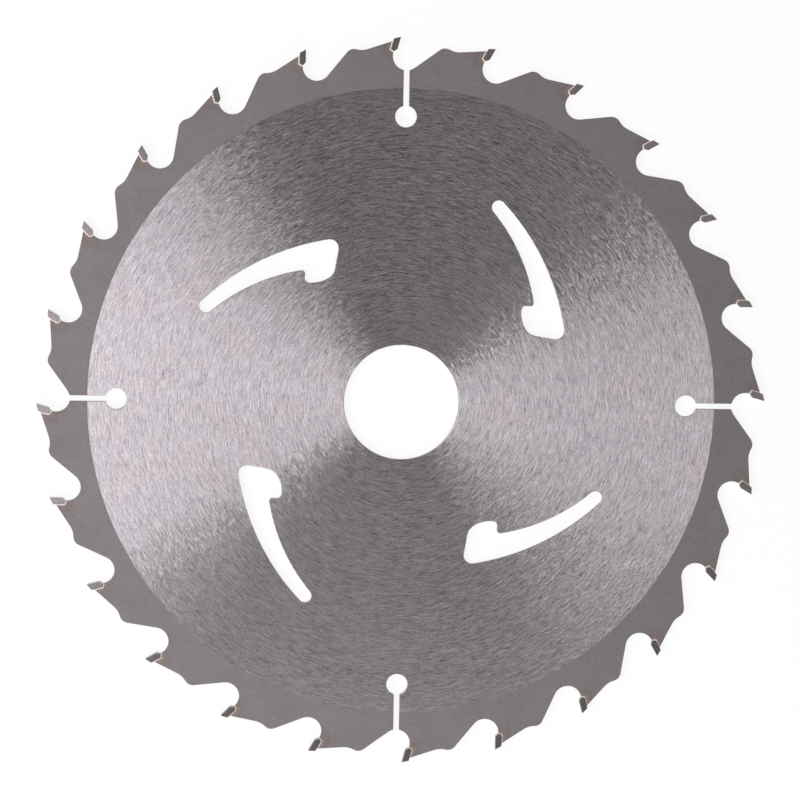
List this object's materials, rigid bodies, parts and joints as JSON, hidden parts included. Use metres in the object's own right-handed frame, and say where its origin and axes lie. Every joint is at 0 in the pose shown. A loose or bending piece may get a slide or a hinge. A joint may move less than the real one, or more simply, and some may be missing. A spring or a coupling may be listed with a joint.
{
  "type": "circular saw blade",
  "caption": "Flat circular saw blade for wood, with brazed carbide teeth, round arbor hole, radial expansion slots and curved vent cut-outs.",
  "frame": {"origin": "centre of the arbor hole, halfway through the plate's thickness", "axes": "+Z along the arbor's axis. Seen from +Z the teeth point clockwise. The expansion slots lie along +X, +Y, -X and -Y"},
  "size_m": [0.19, 0.19, 0.0026],
  "materials": {
    "ground_steel": "tangentially ground, matt outside the ground disc",
    "carbide": "ground",
    "braze_filler": "satin"
  },
  "bodies": {
    "root": {"blade_plate": "ground_steel", "carbide_tip_01": "carbide", "carbide_tip_02": "carbide", "carbide_tip_03": "carbide", "carbide_tip_04": "carbide", "carbide_tip_05": "carbide", "carbide_tip_06": "carbide", "carbide_tip_07": "carbide", "carbide_tip_08": "carbide", "carbide_tip_09": "carbide", "carbide_tip_10": "carbide", "carbide_tip_11": "carbide", "carbide_tip_12": "carbide", "carbide_tip_13": "carbide", "carbide_tip_14": "carbide", "carbide_tip_15": "carbide", "carbide_tip_16": "carbide", "carbide_tip_17": "carbide", "carbide_tip_18": "carbide", "carbide_tip_19": "carbide", "carbide_tip_20": "carbide", "carbide_tip_21": "carbide", "carbide_tip_22": "carbide", "carbide_tip_23": "carbide", "carbide_tip_24": "carbide", "braze_joint_01": "braze_filler", "braze_joint_02": "braze_filler", "braze_joint_03": "braze_filler", "braze_joint_04": "braze_filler", "braze_joint_05": "braze_filler", "braze_joint_06": "braze_filler", "braze_joint_07": "braze_filler", "braze_joint_08": "braze_filler", "braze_joint_09": "braze_filler", "braze_joint_10": "braze_filler", "braze_joint_11": "braze_filler", "braze_joint_12": "braze_filler", "braze_joint_13": "braze_filler", "braze_joint_14": "braze_filler", "braze_joint_15": "braze_filler", "braze_joint_16": "braze_filler", "braze_joint_17": "braze_filler", "braze_joint_18": "braze_filler", "braze_joint_19": "braze_filler", "braze_joint_20": "braze_filler", "braze_joint_21": "braze_filler", "braze_joint_22": "braze_filler", "braze_joint_23": "braze_filler", "braze_joint_24": "braze_filler"}
  },
  "joints": []
}
